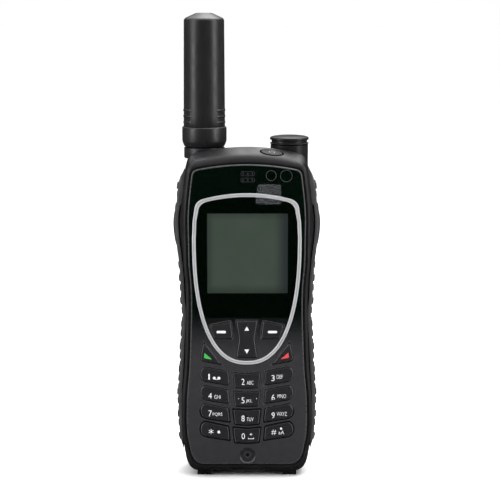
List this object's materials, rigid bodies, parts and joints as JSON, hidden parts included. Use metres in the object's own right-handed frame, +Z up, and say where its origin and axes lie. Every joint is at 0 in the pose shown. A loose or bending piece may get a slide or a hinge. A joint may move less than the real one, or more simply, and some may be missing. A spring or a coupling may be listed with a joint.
{
  "type": "satellite phone",
  "caption": "Rugged handheld satellite phone with a tilting, extending antenna, keypad, display, covered emergency button and removable battery.",
  "frame": {"origin": "middle of the footprint, on the surface the phone stands on", "axes": "+Z up along the antenna, front with display and keypad faces -Y, antenna on the -X side"},
  "size_m": [0.0606, 0.0274, 0.1914],
  "materials": {
    "case_paint": "satin moulded",
    "plate_plastic": "satin moulded",
    "grip_rubber": "matt moulded",
    "ring_metal": "satin plated",
    "window_glass": "polished",
    "lcd_grey": "anti-glare",
    "key_plastic": "satin moulded",
    "antenna_plastic": "fine grained",
    "inner_plastic": "moulded",
    "board_green": "solder mask",
    "tin_plate": "tin plated",
    "gold_contact": "gold plated",
    "pin_steel": "turned",
    "mast_metal": "drawn",
    "ceramic_buff": "unglazed",
    "silicone": "moulded",
    "film_clear": "clear film",
    "emergency_red": "moulded",
    "card_white": "printed card"
  },
  "bodies": {
    "case": {"antenna_hinge_pin": "pin_steel", "battery_contacts": "gold_contact", "bezel_ring": "ring_metal", "case_gasket": "silicone", "case_screw_1": "pin_steel", "case_screw_2": "pin_steel", "case_screw_3": "pin_steel", "case_screw_4": "pin_steel", "dock_connector": "inner_plastic", "earpiece": "tin_plate", "film_tab": "film_clear", "front_frame": "case_paint", "front_plate": "plate_plastic", "gps_patch_antenna": "ceramic_buff", "grip_left": "grip_rubber", "grip_right": "grip_rubber", "keypad_mat": "silicone", "lcd_module": "lcd_grey", "loudspeaker": "inner_plastic", "main_board": "board_green", "microphone": "tin_plate", "rear_housing": "case_paint", "shield_can_cpu": "tin_plate", "shield_can_rf": "tin_plate", "sim_card": "card_white", "sim_holder": "tin_plate", "sos_cover_pin": "pin_steel", "vibration_motor": "pin_steel", "window_lens": "window_glass"},
    "antenna_neck": {"antenna_knuckle": "antenna_plastic", "antenna_mast": "mast_metal"},
    "antenna_sleeve": {"antenna_collar": "antenna_plastic", "antenna_radome": "antenna_plastic", "antenna_element": "ceramic_buff"},
    "emergency_cover": {"sos_cover": "case_paint"},
    "emergency_button": {"sos_button": "emergency_red"},
    "power_key": {"power_button": "key_plastic"},
    "navigation_key": {"nav_rocker": "key_plastic"},
    "left_soft_key": {"soft_key_left": "key_plastic"},
    "right_soft_key": {"soft_key_right": "key_plastic"},
    "green_call_key": {"call_key": "key_plastic"},
    "red_end_key": {"end_key": "key_plastic"},
    "volume_key": {"volume_rocker": "key_plastic"},
    "right_side_key": {"side_key_right": "key_plastic"},
    "battery": {"battery_pack": "case_paint"},
    "latch": {"battery_latch": "key_plastic"},
    "socket_flap": {"connector_cover": "grip_rubber"},
    "body_key_1": {"key_1": "key_plastic"},
    "body_key_2": {"key_2": "key_plastic"},
    "body_key_3": {"key_3": "key_plastic"},
    "body_key_4": {"key_4": "key_plastic"},
    "body_key_5": {"key_5": "key_plastic"},
    "body_key_6": {"key_6": "key_plastic"},
    "body_key_7": {"key_7": "key_plastic"},
    "body_key_8": {"key_8": "key_plastic"},
    "body_key_9": {"key_9": "key_plastic"},
    "body_key_star": {"key_star": "key_plastic"},
    "body_key_0": {"key_0": "key_plastic"},
    "body_key_hash": {"key_hash": "key_plastic"}
  },
  "joints": [
    {"name": "antenna_tilt", "type": "hinge", "parent": "case", "child": "antenna_neck", "pos_m": [-0.01755, 0.0047, 0.1275], "axis": [0, 1, 0], "range_deg": [-40, 40]},
    {"name": "antenna_extend", "type": "slide", "parent": "antenna_neck", "child": "antenna_sleeve", "axis": [0, 0, 1], "range_m": [0, 0.038]},
    {"name": "emergency_cover_swing", "type": "hinge", "parent": "case", "child": "emergency_cover", "pos_m": [0.02229, 0.0115, 0.1376], "axis": [0, 0, 1], "range_deg": [0, 110]},
    {"name": "emergency_press", "type": "slide", "parent": "case", "child": "emergency_button", "axis": [0, 0, -1], "range_m": [0, 0.0012], "stiffness_N_per_m": 600, "springref_m": -0.001},
    {"name": "power_press", "type": "slide", "parent": "case", "child": "power_key", "axis": [-0.101, 0.5, -0.8601], "range_m": [0, 0.0003], "stiffness_N_per_m": 1000, "springref_m": -0.001},
    {"name": "soft_left_press", "type": "slide", "parent": "case", "child": "left_soft_key", "axis": [0, 1, 0], "range_m": [0, 0.0005], "stiffness_N_per_m": 800, "springref_m": -0.001},
    {"name": "soft_right_press", "type": "slide", "parent": "case", "child": "right_soft_key", "axis": [0, 1, 0], "range_m": [0, 0.0005], "stiffness_N_per_m": 800, "springref_m": -0.001},
    {"name": "call_press", "type": "slide", "parent": "case", "child": "green_call_key", "axis": [0, 1, 0], "range_m": [0, 0.0005], "stiffness_N_per_m": 800, "springref_m": -0.001},
    {"name": "end_press", "type": "slide", "parent": "case", "child": "red_end_key", "axis": [0, 1, 0], "range_m": [0, 0.0005], "stiffness_N_per_m": 800, "springref_m": -0.001},
    {"name": "key_1_press", "type": "slide", "parent": "case", "child": "body_key_1", "axis": [0, 1, 0], "range_m": [0, 0.0005], "stiffness_N_per_m": 800, "springref_m": -0.001},
    {"name": "key_2_press", "type": "slide", "parent": "case", "child": "body_key_2", "axis": [0, 1, 0], "range_m": [0, 0.0005], "stiffness_N_per_m": 800, "springref_m": -0.001},
    {"name": "key_3_press", "type": "slide", "parent": "case", "child": "body_key_3", "axis": [0, 1, 0], "range_m": [0, 0.0005], "stiffness_N_per_m": 800, "springref_m": -0.001},
    {"name": "key_4_press", "type": "slide", "parent": "case", "child": "body_key_4", "axis": [0, 1, 0], "range_m": [0, 0.0005], "stiffness_N_per_m": 800, "springref_m": -0.001},
    {"name": "key_5_press", "type": "slide", "parent": "case", "child": "body_key_5", "axis": [0, 1, 0], "range_m": [0, 0.0005], "stiffness_N_per_m": 800, "springref_m": -0.001},
    {"name": "key_6_press", "type": "slide", "parent": "case", "child": "body_key_6", "axis": [0, 1, 0], "range_m": [0, 0.0005], "stiffness_N_per_m": 800, "springref_m": -0.001},
    {"name": "key_7_press", "type": "slide", "parent": "case", "child": "body_key_7", "axis": [0, 1, 0], "range_m": [0, 0.0005], "stiffness_N_per_m": 800, "springref_m": -0.001},
    {"name": "key_8_press", "type": "slide", "parent": "case", "child": "body_key_8", "axis": [0, 1, 0], "range_m": [0, 0.0005], "stiffness_N_per_m": 800, "springref_m": -0.001},
    {"name": "key_9_press", "type": "slide", "parent": "case", "child": "body_key_9", "axis": [0, 1, 0], "range_m": [0, 0.0005], "stiffness_N_per_m": 800, "springref_m": -0.001},
    {"name": "key_star_press", "type": "slide", "parent": "case", "child": "body_key_star", "axis": [0, 1, 0], "range_m": [0, 0.0005], "stiffness_N_per_m": 800, "springref_m": -0.001},
    {"name": "key_0_press", "type": "slide", "parent": "case", "child": "body_key_0", "axis": [0, 1, 0], "range_m": [0, 0.0005], "stiffness_N_per_m": 800, "springref_m": -0.001},
    {"name": "key_hash_press", "type": "slide", "parent": "case", "child": "body_key_hash", "axis": [0, 1, 0], "range_m": [0, 0.0005], "stiffness_N_per_m": 800, "springref_m": -0.001},
    {"name": "nav_rock", "type": "hinge", "parent": "case", "child": "navigation_key", "pos_m": [0, -0.0103, 0.0588], "axis": [1, 0, 0], "range_deg": [-3, 3], "stiffness_Nm_per_rad": 0.02},
    {"name": "volume_rock", "type": "hinge", "parent": "case", "child": "volume_key", "pos_m": [-0.0283, -0.0035, 0.1044], "axis": [0, 1, 0], "range_deg": [-2, 2], "stiffness_Nm_per_rad": 0.03},
    {"name": "side_key_press", "type": "slide", "parent": "case", "child": "right_side_key", "axis": [-1, 0, 0], "range_m": [0, 0.0004], "stiffness_N_per_m": 900, "springref_m": -0.001},
    {"name": "latch_slide", "type": "slide", "parent": "case", "child": "latch", "axis": [0, 0, 1], "range_m": [0, 0.003], "stiffness_N_per_m": 300, "springref_m": -0.002},
    {"name": "battery_release", "type": "slide", "parent": "case", "child": "battery", "axis": [0, 1, 0], "range_m": [0, 0.03]},
    {"name": "socket_flap_swing", "type": "hinge", "parent": "case", "child": "socket_flap", "pos_m": [0, -0.00755, 0.00185], "axis": [-1, 0, 0], "range_deg": [0, 100]}
  ]
}
